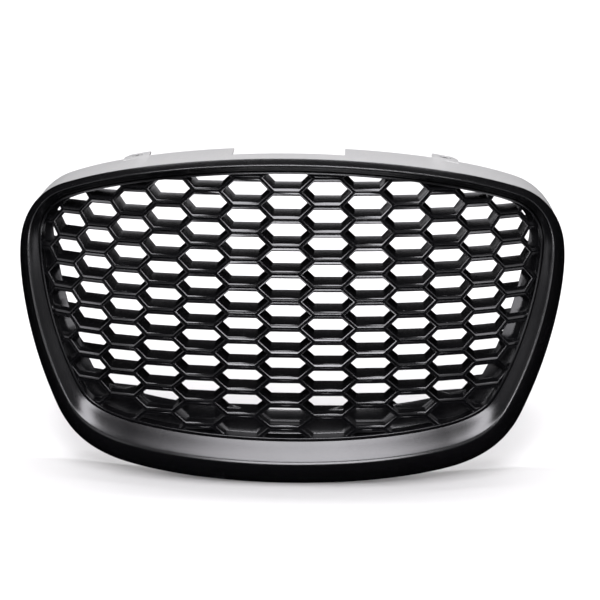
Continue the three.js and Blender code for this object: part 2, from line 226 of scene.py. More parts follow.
class Station:
    """One place on the ridge line, with its outward direction and the widths of the sections there."""

    def __init__(self, point, along):
        self.point = point
        self.out = Vector((-along.y, along.x))
        up = self.out.y
        low, high = max(-up, 0), max(up, 0)
        self.outer = ruled_width(OUTER_WIDTH, up)
        self.cove = ruled_width(COVE_WIDTH, up)
        self.border = BORDER_SIDE - BORDER_TOP_LOSS * high + BORDER_BOTTOM_GAIN * low
        self.clamp = CLAMP_TOP if up > TOP_DIRECTION else CLAMP_ROUND
        self.wall_depth = CARRIER_DEPTH_LOW + (CARRIER_DEPTH_TOP - CARRIER_DEPTH_LOW) * high
        self.rise = CARRIER_RISE * high

    def place(self, outward, back):
        x = self.point.x + self.out.x * outward
        z = self.point.y + self.out.y * outward
        return Vector((x, face_depth(x, z) + back, z))


def ring_stations(half, reach):
    right = ridge_points(half)
    points = right + [Vector((-p.x, p.y)) for p in right[-2:0:-1]]
    count = len(points)
    return [
        Station(p, (points[(i + reach) % count] - points[(i - reach) % count]).normalized())
        for i, p in enumerate(points)
    ]


def softened(corners):
    """A closed section whose corners (x, y, radius, steps) are rounded."""
    made = []
    count = len(corners)
    for i, (x, y, radius, steps) in enumerate(corners):
        here = Vector((x, y))
        before = Vector(corners[i - 1][:2]) - here
        after = Vector(corners[(i + 1) % count][:2]) - here
        if not steps:
            made.append(here)
            continue
        a = here + before.normalized() * min(radius, before.length * CORNER_REACH)
        b = here + after.normalized() * min(radius, after.length * CORNER_REACH)
        for k in range(steps + 1):
            t = k / steps
            made.append(a * (1 - t) ** 2 + here * 2 * t * (1 - t) + b * t**2)
    return made


def bezel_section(s):
    inner = s.outer - BEZEL_WALL
    return softened([
        (s.outer, OUTER_EDGE_BACK, 0.4, 2),
        (s.outer, -OUTER_EDGE_FORWARD, 3, 4),
        (0.72 * s.outer, -12.8, 5, 4),
        (0.3 * s.outer, -19.6, 2.6, 4),
        (0, -RIDGE_FORWARD, 1.4, 6),
        (-0.16 * s.cove, -20.6, 1.1, 3),
        (-0.5 * s.cove, -13.4, 8, 6),
        (-s.cove, -SEAM_FORWARD, 0.7, 4),
        (-s.cove, RETURN_BACK, 0.3, 2),
        (RETURN_WALL - s.cove, RETURN_BACK, 0.3, 2),
        (RETURN_WALL - s.cove, -3, 0, 0),
        (0.3 - 0.5 * s.cove, -10.6, 2, 2),
        (0, -18.4, 0.8, 2),
        (0.6 * inner, -11.2, 2, 2),
        (inner, -3.5, 0, 0),
        (inner, OUTER_EDGE_BACK, 0, 0),
    ])


def carrier_section(s):
    outside = s.outer - CARRIER_GAP
    inside = outside - CARRIER_WALL
    return softened([
        (outside, CARRIER_FRONT, 0.3, 2),
        (outside + s.rise * s.wall_depth, s.wall_depth, 0.6, 3),
        (inside + s.rise * s.wall_depth, s.wall_depth, 0.6, 3),
        (inside + s.rise * WEB_BACK, WEB_BACK, 0.8, 2),
        (WEB_GAP - s.cove, WEB_BACK, 0.3, 2),
        (WEB_GAP - s.cove, WEB_FRONT, 0.3, 2),
        (inside + s.rise * WEB_FRONT, WEB_FRONT, 0, 0),
        (inside, CARRIER_FRONT, 0.3, 2),
    ])


def basket_section(s):
    outside = -s.cove - SEAM_GAP
    inside = outside - SKIRT_WALL
    rear = rear_depth(s.point.y)
    return softened([
        (outside, -LIP_FORWARD, 0.6, 3),
        (outside, CLAMP_FRONT, 0, 0),
        (s.clamp - s.cove, CLAMP_FRONT, 0.3, 2),
        (s.clamp - s.cove, CLAMP_BACK, 0.3, 2),
        (outside, CLAMP_BACK, 0.6, 2),
        (outside, rear, 0.4, 2),
        (inside, rear, 0.4, 2),
        (inside, BORDER_BACK, 0.8, 2),
        (-s.cove - s.border, BORDER_BACK, 0.4, 2),
        (-s.cove - s.border, BORDER_FRONT, 0.4, 2),
        (inside, BORDER_FRONT, 0.8, 2),
        (inside, -LIP_FORWARD, 0.6, 3),
    ])


def web_space_section(s):
    middle = (CLAMP_FRONT + CLAMP_BACK) / 2
    outward = s.clamp - s.cove + 1
    return [Vector(p) for p in ((outward, 0), (outward, middle), (-s.cove, middle), (-s.cove, 0))]


class ScrewPlace:
    """Where one screw goes, with its boss and seat, all along Y."""

    def __init__(self, station, inset):
        spot = station.place(inset - station.cove, 0)
        self.x, self.face, self.z = spot
        self.out = station.out
        self.inset = inset
        self.slope = steepness(self.x, self.z)
        self.boss_end = self.face + RETURN_BACK - self.slope * BOSS_RADIUS
        self.seat = self.face + CLAMP_BACK + self.slope * SEAT_RADIUS


def screw_places():
    stations = ring_stations(CAD_HALF_STATIONS, 1)
    places = []
    for side in (1, -1):
        for i, share in enumerate(SCREW_SHARES):
            station = stations[round(share * CAD_HALF_STATIONS) * side]
            places.append(ScrewPlace(station, TOP_SCREW_INSET if i < TOP_SCREWS else SCREW_INSET))
    return places


# ---------------------------------------------------------------- mesh helpers


def shift_to_frame():
    """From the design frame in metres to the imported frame: the bezel's sections give its box in both."""
    corners = [
        s.place(outward, back)
        for s in ring_stations(CAD_HALF_STATIONS, 1)
        for outward, back in (
            (s.outer, OUTER_EDGE_BACK), (s.outer, -OUTER_EDGE_FORWARD),
            (0, -RIDGE_FORWARD), (-s.cove, RETURN_BACK),
        )
    ]
    low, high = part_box("bezel_ring")
    z = low.z - min(c.z for c in corners) * MM
    y = low.y - min(c.y for c in corners) * MM
    return Vector(((low.x + high.x) / 2, y, z))


SHIFT = shift_to_frame()


def to_frame(point):
    return Vector(point) * MM + SHIFT


def face_outwards(bm):
    """Turns the faces of a closed bmesh outwards."""
    bmesh.ops.recalc_face_normals(bm, faces=bm.faces)
    if bm.calc_volume(signed=True) < 0:
        bmesh.ops.reverse_faces(bm, faces=bm.faces)


def bridge(bm, here, after):
    """Joins two closed loops of corners with a band of faces."""
    count = len(here)
    for k in range(count):
        n = (k + 1) % count
        bm.faces.new((here[k], after[k], after[n], here[n]))


def linked_object(name, bm):
    """A new object in the scene from a bmesh, which is used up."""
    mesh = bpy.data.meshes.new(name)
    bm.to_mesh(mesh)
    bm.free()
    made = bpy.data.objects.new(name, mesh)
    bpy.context.scene.collection.objects.link(made)
    return made


def closed_object(name, bm):
    face_outwards(bm)
    return linked_object(name, bm)


def ring_object(name, stations, section):
    bm = bmesh.new()
    loops = [
        [bm.verts.new(to_frame(s.place(p.x, p.y))) for p in section(s)]
        for s in stations
    ]
    for here, after in zip(loops, loops[1:] + loops[:1]):
        bridge(bm, here, after)
    return closed_object(name, bm)


def pin_object(name, place, front, back, radius):
    """A round pin along Y at one screw place."""
    bm = bmesh.new()
    middle = Matrix.Translation(to_frame((place.x, (front + back) / 2, place.z)))
    bmesh.ops.create_cone(
        bm, cap_ends=True, segments=PIN_SIDES, radius1=radius * MM, radius2=radius * MM,
        depth=(back - front) * MM, matrix=middle @ Matrix.Rotation(math.pi / 2, 4, "X"),
    )
    return closed_object(name, bm)


def box_object(name, size, matrix):
    bm = bmesh.new()
    bmesh.ops.create_cube(bm, size=1, matrix=matrix @ Matrix.Diagonal((*size, 1)))
    return closed_object(name, bm)


def prism_object(name, outline, depth, matrix=Matrix.Identity(4)):
    """A flat outline of (x, y) points drawn out along z."""
    bm = bmesh.new()
    base = bm.faces.new([bm.verts.new((x, y, 0)) for x, y in outline])
    drawn = bmesh.ops.extrude_face_region(bm, geom=[base])
    moved = [v for v in drawn["geom"] if isinstance(v, bmesh.types.BMVert)]
    bmesh.ops.translate(bm, verts=moved, vec=(0, 0, depth))
    bmesh.ops.transform(bm, matrix=matrix, verts=bm.verts)
    return closed_object(name, bm)


def settle(made):
    """Turns an object's modifiers into its plain mesh."""
    graph = bpy.context.evaluated_depsgraph_get()
    mesh = bpy.data.meshes.new_from_object(made.evaluated_get(graph))
    old = made.data
    made.modifiers.clear()
    made.data = mesh
    bpy.data.meshes.remove(old)
    return made


def discard(made):
    mesh = made.data
    bpy.data.objects.remove(made)
    bpy.data.meshes.remove(mesh)


def combine(made, tool, operation):
    """Joins, cuts or intersects, and uses the tool up."""
    modifier = made.modifiers.new("combine", "BOOLEAN")
    modifier.operation = operation
    modifier.solver = "MANIFOLD"
    modifier.object = tool
    settle(made)
    discard(tool)
    if not made.data.polygons:
        raise RuntimeError(f"{made.name} came out empty")
    return made


def smooth_shaded(made, angle=32):
    mesh = made.data
    mesh.shade_smooth()
    mesh.set_sharp_from_angle(angle=math.radians(angle))


def hand_over(made, material, slot, *nodes):
    """Gives a finished piece its material and body, and hides the CAD nodes that it stands for. The slot is not
    used.
    """
    made.data.materials.clear()
    made.data.materials.append(material)
    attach(made, "root")
    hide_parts(*nodes)


# ---------------------------------------------------------------- node helpers


class Number:
    """A number on its way through a node tree; the usual signs add Math nodes."""

    def __init__(self, tree, socket):
        self.tree, self.socket = tree, socket

    def math(self, operation, *others):
        node = self.tree.nodes.new("ShaderNodeMath")
        node.operation = operation
        for i, value in enumerate((self, *others)):
            if isinstance(value, Number):
                self.tree.links.new(value.socket, node.inputs[i])
            else:
                node.inputs[i].default_value = value
        return Number(self.tree, node.outputs[0])

    def __add__(self, other):
        return self.math("ADD", other)

    def __sub__(self, other):
        return self.math("SUBTRACT", other)

    def __mul__(self, other):
        return self.math("MULTIPLY", other)

    def __truediv__(self, other):
        return self.math("DIVIDE", other)


def node(tree, kind, inputs=None, **settings):
    """Adds a node, sets its properties, and sets or links its inputs by name or place."""
    made = tree.nodes.new(kind)
    for key, value in settings.items():
        setattr(made, key, value)
    for key, value in (inputs or {}).items():
        socket = made.inputs[key]
        if isinstance(value, Number):
            value = value.socket
        if isinstance(value, bpy.types.NodeSocket):
            tree.links.new(value, socket)
        else:
            socket.default_value = value
    return made


def new_tree(name, kind, inputs, outputs):
    """A node group with named sockets, given as (name, socket type, default) and (name, socket type)."""
    tree = bpy.data.node_groups.new(name, kind)
    for label, socket, default in inputs:
        made = tree.interface.new_socket(label, in_out="INPUT", socket_type=socket)
        if default is not None:
            made.default_value = default
    for label, socket in outputs:
        tree.interface.new_socket(label, in_out="OUTPUT", socket_type=socket)
    source = tree.nodes.new("NodeGroupInput")
    sink = tree.nodes.new("NodeGroupOutput")
    return tree, source, sink


def run_tree(made, tree, values):
    """Puts a tree on an object with its named inputs and settles the result."""
    modifier = made.modifiers.new(tree.name, "NODES")
    modifier.node_group = tree
    names = {
        item.name: item.identifier
        for item in tree.interface.items_tree
        if item.item_type == "SOCKET" and item.in_out == "INPUT"
    }
    for label, value in values.items():
        modifier[names[label]] = value
    return settle(made)


# ---------------------------------------------------------------- geometry trees


def lattice_tree():
    """Sets a cell out in columns and rows, welds the cells into one sheet, closes its rim and wraps it."""
    number, whole = "NodeSocketFloat", "NodeSocketInt"
    tree, source, sink = new_tree(
        "honeycomb_lattice",
        "GeometryNodeTree",
        [
            ("Cell", "NodeSocketGeometry", None),
            ("Column Pitch", number, 0.048),
            ("Row Pitch", number, 0.02915),
            ("Columns Each Side", whole, 7),
            ("Rows Each Side", whole, 7),
            ("Groove Depth", number, 0.002),
            ("Hollow Front", number, 0.007),
            ("Rear Depth", number, 0.027),
            ("Rear Growth", number, 0.04),
            ("Wrap Radius", number, 0.39),
            ("Narrowing", number, -0.31),
            ("Narrowing Square", number, -0.8),
            ("Sweep Square", number, 0.395),
            ("Sweep Fourth", number, 4.3),
            ("Lean", number, 0.2),
            ("Lean Square", number, 0.83),
            ("Material", "NodeSocketMaterial", None),
        ],
        [("Mesh", "NodeSocketGeometry")],
    )

    def given(label):
        return Number(tree, source.outputs[label])

    def position():
        spot = node(tree, "GeometryNodeInputPosition").outputs[0]
        apart = node(tree, "ShaderNodeSeparateXYZ", {0: spot})
        return [Number(tree, apart.outputs[axis]) for axis in "XYZ"]

    columns = given("Columns Each Side")
    rows = given("Rows Each Side")
    pitch, rise = given("Column Pitch"), given("Row Pitch")
    grid = node(tree, "GeometryNodeMeshGrid", {
        "Size X": columns * pitch * 2,
        "Size Y": rows * rise * 2,
        "Vertices X": columns * 2 + 1,
        "Vertices Y": rows * 2 + 1,
    })
    across, upward, _ = position()
    column = (across / pitch + columns).math("ROUND")
    odd = (column + columns).math("MODULO", 2)
    spot = node(tree, "ShaderNodeCombineXYZ", {
        "X": across,
        "Z": upward + odd * rise * 0.5,
    })
    laid = node(tree, "GeometryNodeSetPosition", {
        "Geometry": grid.outputs["Mesh"], "Position": spot.outputs[0],
    })
    copies = node(tree, "GeometryNodeInstanceOnPoints", {
        "Points": laid.outputs[0], "Instance": source.outputs["Cell"],
    })
    loose = node(tree, "GeometryNodeRealizeInstances", {"Geometry": copies.outputs[0]})
    weld = 2e-5
    sheet = node(tree, "GeometryNodeMergeByDistance", {"Geometry": loose.outputs[0], "Distance": weld})

    neighbours = node(tree, "GeometryNodeInputMeshEdgeNeighbors")
    border = node(tree, "FunctionNodeCompare", {
        "A": neighbours.outputs[0], "B": 1,
    }, data_type="INT", operation="EQUAL")
    _, depth, _ = position()
    halfway = (given("Groove Depth") + given("Hollow Front")) * 0.5
    forward = node(tree, "FunctionNodeCompare", {
        "A": depth, "B": halfway,
    }, data_type="FLOAT", operation="LESS_THAN")
    front_rim = node(tree, "FunctionNodeBooleanMath", {
        0: border.outputs[0], 1: forward.outputs[0],
    }, operation="AND")
    back = node(tree, "ShaderNodeCombineXYZ", {"Y": given("Hollow Front") - given("Groove Depth")})
    closed = node(tree, "GeometryNodeExtrudeMesh", {
        "Mesh": sheet.outputs[0], "Selection": front_rim.outputs[0],
        "Offset": back.outputs[0], "Offset Scale": 1.0,
    }, mode="EDGES")
    whole_sheet = node(tree, "GeometryNodeMergeByDistance", {"Geometry": closed.outputs[0], "Distance": weld})

    u, y, z = position()
    radius = given("Wrap Radius")
    narrow = z * given("Narrowing") + z * z * given("Narrowing Square") + 1
    x = (u / radius).math("SINE") * radius * narrow
    front = x * x * given("Sweep Square") + x * x * x * x * given("Sweep Fourth")
    front = front + z * given("Lean") + z * z * given("Lean Square")
    hollow = given("Hollow Front")
    share = (y - hollow) / (given("Rear Depth") - hollow)
    growth = share.math("MAXIMUM", 0.0) * z * given("Rear Growth")
    bent = node(tree, "ShaderNodeCombineXYZ", {"X": x, "Y": front + y + growth, "Z": z})
    wrapped = node(tree, "GeometryNodeSetPosition", {
        "Geometry": whole_sheet.outputs[0], "Position": bent.outputs[0],
    })
    real = node(tree, "GeometryNodeRealizeInstances", {"Geometry": wrapped.outputs[0]})
    finished = node(tree, "GeometryNodeSetMaterial", {
        "Geometry": real.outputs[0], "Material": source.outputs["Material"],
    })
    tree.links.new(finished.outputs[0], sink.inputs[0])
    return tree


def screw_tree():
    """Puts a screw on every point, each turned about its own axis by a seeded share of a turn."""
    tree, source, sink = new_tree(
        "screws_on_points",
        "GeometryNodeTree",
        [
            ("Points", "NodeSocketGeometry", None),
            ("Screw", "NodeSocketObject", None),
            ("Seed", "NodeSocketInt", 4),
            ("Material", "NodeSocketMaterial", None),
        ],
        [("Mesh", "NodeSocketGeometry")],
    )
    shape = node(tree, "GeometryNodeObjectInfo", {"Object": source.outputs["Screw"]})
    turn = node(tree, "FunctionNodeRandomValue", {
        "Min": (0, 0, 0), "Max": (0, 2 * math.pi, 0), "Seed": source.outputs["Seed"],
    }, data_type="FLOAT_VECTOR")
    placed = node(tree, "GeometryNodeInstanceOnPoints", {
        "Points": source.outputs["Points"], "Instance": shape.outputs["Geometry"],
        "Rotation": turn.outputs[0],
    })
    real = node(tree, "GeometryNodeRealizeInstances", {"Geometry": placed.outputs[0]})
    finished = node(tree, "GeometryNodeSetMaterial", {
        "Geometry": real.outputs[0], "Material": source.outputs["Material"],
    })
    tree.links.new(finished.outputs[0], sink.inputs[0])
    return tree


# ---------------------------------------------------------------- shader groups and materials


def noise(tree, scale, **inputs):
    """A cloudy pattern fixed to the piece."""
    place = node(tree, "ShaderNodeTexCoord").outputs["Object"]
    made = node(tree, "ShaderNodeTexNoise", {"Vector": place, "Scale": scale, **inputs})
    return Number(tree, made.outputs[0])


def grain_group():
    """Fine moulded grain: its height, and how it shifts the roughness."""
    tree, source, sink = new_tree(
        "moulded_grain",
        "ShaderNodeTree",
        [
            ("Grain Scale", "NodeSocketFloat", 1800.0),
            ("Cloud Scale", "NodeSocketFloat", 26.0),
            ("Roughness", "NodeSocketFloat", 0.35),
            ("Roughness Spread", "NodeSocketFloat", 0.05),
        ],
        [("Height", "NodeSocketFloat"), ("Roughness", "NodeSocketFloat")],
    )
    place = node(tree, "ShaderNodeTexCoord").outputs["Object"]
    cells = node(tree, "ShaderNodeTexVoronoi", {
        "Vector": place, "Scale": source.outputs["Grain Scale"], "Randomness": 1.0,
    })
    grain = noise(tree, source.outputs["Grain Scale"], Detail=2.0, Roughness=0.6)
    cloud = noise(tree, source.outputs["Cloud Scale"], Detail=5.0, Roughness=0.55)
    height = grain * 0.6 + Number(tree, cells.outputs["Distance"]) * 0.4
    drift = (cloud - 0.5) * 2 + (grain - 0.5) * 0.8
    rough = drift * Number(tree, source.outputs["Roughness Spread"]) + Number(tree, source.outputs["Roughness"])
    tree.links.new(height.socket, sink.inputs["Height"])
    tree.links.new(rough.math("MAXIMUM", 0.05).socket, sink.inputs["Roughness"])
    return tree


def edge_group():
    """Edges that handling has burnished: 1 along them, 0 on open faces, broken up by a soft cloud."""
    tree, source, sink = new_tree(
        "edge_burnish",
        "ShaderNodeTree",
        [
            ("Width", "NodeSocketFloat", 0.0008),
            ("Amount", "NodeSocketFloat", 0.5),
            ("Cloud Scale", "NodeSocketFloat", 60.0),
        ],
        [("Mask", "NodeSocketFloat")],
    )
    soft = node(tree, "ShaderNodeBevel", {"Radius": source.outputs["Width"]}, samples=4)
    true = node(tree, "ShaderNodeNewGeometry").outputs["Normal"]
    meet = node(tree, "ShaderNodeVectorMath", {0: soft.outputs[0], 1: true}, operation="DOT_PRODUCT")
    bend = (Number(tree, meet.outputs["Value"]) * -1 + 1) * 6
    cloud = noise(tree, source.outputs["Cloud Scale"], Detail=4.0)
    broken = bend * (cloud + 0.3) * Number(tree, source.outputs["Amount"])
    clean = node(tree, "ShaderNodeClamp", {0: broken})
    tree.links.new(clean.outputs[0], sink.inputs["Mask"])
    return tree


def dust_group():
    """Thin dust that settles on faces that look up, in soft patches with fine specks."""
    tree, source, sink = new_tree(
        "settled_dust",
        "ShaderNodeTree",
        [
            ("Amount", "NodeSocketFloat", 0.1),
            ("Patch Scale", "NodeSocketFloat", 14.0),
            ("Speck Scale", "NodeSocketFloat", 900.0),
        ],
        [("Mask", "NodeSocketFloat")],
    )
    true = node(tree, "ShaderNodeSeparateXYZ", {0: node(tree, "ShaderNodeNewGeometry").outputs["Normal"]})
    patch = noise(tree, source.outputs["Patch Scale"], Detail=4.0)
    speck = noise(tree, source.outputs["Speck Scale"], Detail=1.0)
    up = Number(tree, true.outputs["Z"]).math("MAXIMUM", 0.0)
    fine = (speck - 0.45).math("MAXIMUM", 0.0) * 3
    mask = up * patch * fine * Number(tree, source.outputs["Amount"])
    clean = node(tree, "ShaderNodeClamp", {0: mask})
    tree.links.new(clean.outputs[0], sink.inputs["Mask"])
    return tree


EFFECT_MAKERS = {"moulded_grain": grain_group, "edge_burnish": edge_group, "settled_dust": dust_group}


def effect(name):
    """A shared shader group, built the first time that it is asked for."""
    return bpy.data.node_groups.get(name) or EFFECT_MAKERS[name]()


def plastic(name, colour, burnished, dusty, grain, edge, dust, bump, **fixed):
    """A moulded plastic: a base colour with burnished edges and dust over it, and grain in gloss and relief."""
    material = bpy.data.materials.new(name)
    material.use_nodes = True
    tree = material.node_tree
    shader = tree.nodes["Principled BSDF"]
    for label, value in fixed.items():
        shader.inputs[label.replace("_", " ")].default_value = value
    relief = node(tree, "ShaderNodeGroup", node_tree=effect("moulded_grain"))
    worn = node(tree, "ShaderNodeGroup", node_tree=effect("edge_burnish"))
    settled = node(tree, "ShaderNodeGroup", node_tree=effect("settled_dust"))
    for group, values in ((relief, grain), (worn, edge), (settled, dust)):
        for label, value in values.items():
            group.inputs[label].default_value = value
    over_edges = mixed_colour(tree, worn.outputs["Mask"], colour, burnished)
    over_all = mixed_colour(tree, settled.outputs["Mask"], over_edges, dusty)
    tree.links.new(over_all, shader.inputs["Base Color"])
    tree.links.new(relief.outputs["Roughness"], shader.inputs["Roughness"])
    height = node(tree, "ShaderNodeBump", {
        "Height": relief.outputs["Height"], "Strength": bump, "Distance": 0.0001,
    })
    tree.links.new(height.outputs[0], shader.inputs["Normal"])
    return material


def mixed_colour(tree, mask, first, second):
    """The output of a colour mix; first is a colour or a socket, second a colour."""
    mix = tree.nodes.new("ShaderNodeMix")
    mix.data_type = "RGBA"
    tree.links.new(mask, mix.inputs[0])
    if isinstance(first, bpy.types.NodeSocket):
        tree.links.new(first, mix.inputs[6])
    else:
        mix.inputs[6].default_value = (*first, 1)
    mix.inputs[7].default_value = (*second, 1)
    return mix.outputs[2]


BLACK_BURNISH = (0.03, 0.03, 0.034)
DUST = (0.2, 0.19, 0.18)


def bezel_plastic(colours):
    return plastic(
        "satin_black_bezel", colours.bezel, BLACK_BURNISH, DUST,
        {"Grain Scale": 2200.0, "Cloud Scale": 18.0, "Roughness": 0.26, "Roughness Spread": 0.04},
        {"Width": 0.0008, "Amount": 0.4, "Cloud Scale": 45.0},
        {"Amount": 0.06, "Patch Scale": 12.0, "Speck Scale": 800.0},
        0.035,
        IOR=1.58,
    )


def mesh_plastic(colours):
    return plastic(
        "satin_black_honeycomb", colours.honeycomb, BLACK_BURNISH, DUST,
        {"Grain Scale": 2400.0, "Cloud Scale": 30.0, "Roughness": 0.2, "Roughness Spread": 0.04},
        {"Width": 0.0005, "Amount": 0.4, "Cloud Scale": 60.0},
        {"Amount": 0.05, "Patch Scale": 16.0, "Speck Scale": 900.0},
        0.02,
        IOR=1.58,
    )


def carrier_plastic(colours):
    return plastic(
        "matte_grey_carrier", colours.carrier, (0.68, 0.68, 0.67), (0.5, 0.48, 0.45),
        {"Grain Scale": 1100.0, "Cloud Scale": 14.0, "Roughness": 0.58, "Roughness Spread": 0.07},
        {"Width": 0.0008, "Amount": 0.4, "Cloud Scale": 50.0},
        {"Amount": 0.3, "Patch Scale": 10.0, "Speck Scale": 700.0},
        0.5,
    )


def screw_steel(colours):
    return plastic(
        "black_zinc_screw", colours.screw, (0.35, 0.35, 0.36), DUST,
        {"Grain Scale": 3000.0, "Cloud Scale": 260.0, "Roughness": 0.38, "Roughness Spread": 0.1},
        {"Width": 0.0004, "Amount": 0.9, "Cloud Scale": 300.0},
        {"Amount": 0.2, "Patch Scale": 80.0, "Speck Scale": 1500.0},
        0.4,
        Metallic=0.85,
    )


def floor_paint(colours):
    """Pale seamless paper with a faint fibre."""
    material = bpy.data.materials.new("pale_studio_floor")
    material.use_nodes = True
    tree = material.node_tree
    shader = tree.nodes["Principled BSDF"]
    fibre = noise(tree, 220.0, Detail=4.0)
    soft = mixed_colour(tree, fibre.socket, tuple(c * 0.985 for c in colours.floor), colours.floor)
    tree.links.new(soft, shader.inputs["Base Color"])
    rough = fibre * 0.08 + 0.82
    tree.links.new(rough.socket, shader.inputs["Roughness"])
    shader.inputs["Specular IOR Level"].default_value = 0.2
    return material


# ---------------------------------------------------------------- properties


def length_property(name, description, default, low=0.0001, high=1.0):
    return FloatProperty(
        name=name, description=description, default=default, min=low, max=high,
        subtype="DISTANCE", unit="LENGTH", precision=4,
    )


def colour_property(name, description, default):
    return FloatVectorProperty(
        name=name, description=description, default=default, min=0, max=1, size=3, subtype="COLOR",
    )


class GrilleSizes(bpy.types.PropertyGroup):
    """Sizes of the honeycomb and its ribs."""

    column_pitch: length_property("Column Pitch", "Distance between columns of cells", 0.048)
    row_pitch: length_property("Row Pitch", "Distance between cells of one column", 0.02915)
    flat_half_length: length_property("Flat Half Length", "Half of a cell's level edge, on the pattern", 0.0155)
    bar_half_height: length_property("Bar Half Height", "Half of a level bar between two cells", 0.0044)
    diagonal_half_width: length_property(
        "Diagonal Half Width", "Half of a slanting bar between two cells", 0.0029,
    )
    draft_bar: length_property("Bar Draft", "How much a level wall closes in towards the back", 0.0015)
    draft_diagonal: length_property(
        "Diagonal Draft", "How much a slanting wall closes in towards the back", 0.0013,
    )
    groove_depth: length_property("Groove Depth", "Depth of the groove between the rims of two cells", 0.0026)
    columns_each_side: IntProperty(
        name="Columns Each Side", description="Columns of cells on either side of the middle one",
        default=7, min=1, max=12,
    )
    rows_each_side: IntProperty(
        name="Rows Each Side", description="Rows of cells above and below the middle one",
        default=7, min=1, max=12,
    )


class GrilleColours(bpy.types.PropertyGroup):
    """Base colours of the pieces and the floor."""

    bezel: colour_property("Bezel", "Satin black of the bezel ring", (0.0018, 0.0018, 0.0022))
    honeycomb: colour_property("Honeycomb", "Satin black of the honeycomb insert", (0.0016, 0.0016, 0.002))
    carrier: colour_property("Carrier", "Light grey of the carrier frame", (0.26, 0.26, 0.256))
    screw: colour_property("Screw", "Black zinc of the screws", (0.12, 0.12, 0.125))
    floor: colour_property("Floor", "Pale paper of the floor", (0.62, 0.617, 0.608))


# ---------------------------------------------------------------- pieces


class GRILLE_OT_bezel(bpy.types.Operator):
    """Make the bezel ring with its screw bosses"""

    bl_idname = "grille.make_bezel"
    bl_label = "Make Bezel Ring"

    def execute(self, context):
        ring = ring_object("bezel", ring_stations(HALF_STATIONS, DIRECTION_REACH), bezel_section)
        for place in screw_places():
            front = place.face + BOSS_FRONT
            combine(ring, pin_object("boss", place, front, place.boss_end, BOSS_RADIUS), "UNION")
            length = place.inset - RIB_INSET
            height = place.boss_end - place.face - BOSS_FRONT - place.slope * length
            turn = Matrix.Rotation(-math.atan2(place.out.y, place.out.x), 4, "Y")
            rib = Matrix.Translation(to_frame((place.x, front, place.z))) @ turn
            rib = rib @ Matrix.Translation(Vector((-length / 2, height / 2, 0)) * MM)
            size = Vector((length, height, RIB_THICK)) * MM
            combine(ring, box_object("rib", size, rib), "UNION")
            bore_front, bore_back = place.boss_end - BORE_DEPTH, place.boss_end + BORE_OVERRUN
            combine(ring, pin_object("bore", place, bore_front, bore_back, BOSS_BORE_RADIUS), "DIFFERENCE")
        smooth_shaded(ring)
        hand_over(ring, bezel_plastic(context.scene.grille_colours), "bezel_black", "bezel_ring")
        return {"FINISHED"}


def tab_outline():
    half = TAB_WIDTH / 2
    return [
        (-half, -4), (half, -4), (half, TAB_LENGTH - TAB_CHAMFER),
        (half - TAB_CHAMFER, TAB_LENGTH), (-half, TAB_LENGTH),
    ]


def slot_outline():
    """A level slot with a round hole at its middle."""
    turn = math.asin(TAB_SLOT_HALF_WIDTH / TAB_HOLE_RADIUS)
    middle = TAB_LENGTH / 2
    steps = 10
    points = []
    for side in (0, 1):
        sign = 1 - 2 * side
        points.append((TAB_SLOT_HALF_LENGTH * sign, middle - TAB_SLOT_HALF_WIDTH * sign))
        points.append((TAB_SLOT_HALF_LENGTH * sign, middle + TAB_SLOT_HALF_WIDTH * sign))
        for k in range(steps + 1):
            angle = side * math.pi + turn + (math.pi - 2 * turn) * k / steps
            points.append((TAB_HOLE_RADIUS * math.cos(angle), middle + TAB_HOLE_RADIUS * math.sin(angle)))
    return points


def tab_object(stations, side):
    """One mounting tab in line with the carrier's top wall. side is 1 right, -1 left."""
    top = [s for s in stations if s.out.y > TOP_DIRECTION and s.point.x * side > 0]
    station = min(top, key=lambda s: abs(abs(s.point.x) - TAB_X))
    outward = station.outer - CARRIER_GAP + station.rise * station.wall_depth - TAB_THICK
    spot = station.place(outward, station.wall_depth)
    along = Vector((station.out.y * side, 0, -station.out.x * side))
    back = Vector((station.out.x * station.rise, 1, station.out.y * station.rise))
    back = (back - along * back.dot(along)).normalized()
    up = along.cross(back)
    basis = Matrix((along, back, up)).transposed().to_4x4()
    low = -TAB_THICK if side < 0 else 0
    matrix = Matrix.Translation(to_frame(spot)) @ basis @ Matrix.Scale(MM, 4)
    lift = Matrix.Translation((0, 0, low))
    plate = prism_object("tab", tab_outline(), TAB_THICK, matrix @ lift)
    bevel = plate.modifiers.new("soft_edges", "BEVEL")
    bevel.width = 0.3 * MM
    bevel.segments = 2
    settle(plate)
    deep = Matrix.Translation((0, 0, low - CUT_OVERRUN))
    slot = prism_object("slot", slot_outline(), TAB_THICK + 2 * CUT_OVERRUN, matrix @ deep)
    return combine(plate, slot, "DIFFERENCE")


def tongue_object(side):
    z = RIDGE_BOTTOM - TONGUE_DROP
    edge = face_depth(TONGUE_X, z) + CARRIER_DEPTH_LOW
    centre = (TONGUE_X * side, edge + TONGUE_LENGTH / 2 - TONGUE_OVERLAP, z)
    size = Vector((TONGUE_WIDTH, TONGUE_LENGTH, TONGUE_THICK)) * MM
    tongue = box_object("tongue", size, Matrix.Translation(to_frame(centre)))
    bevel = tongue.modifiers.new("soft_edges", "BEVEL")
    bevel.width = 0.5 * MM
    bevel.segments = 3
    return settle(tongue)


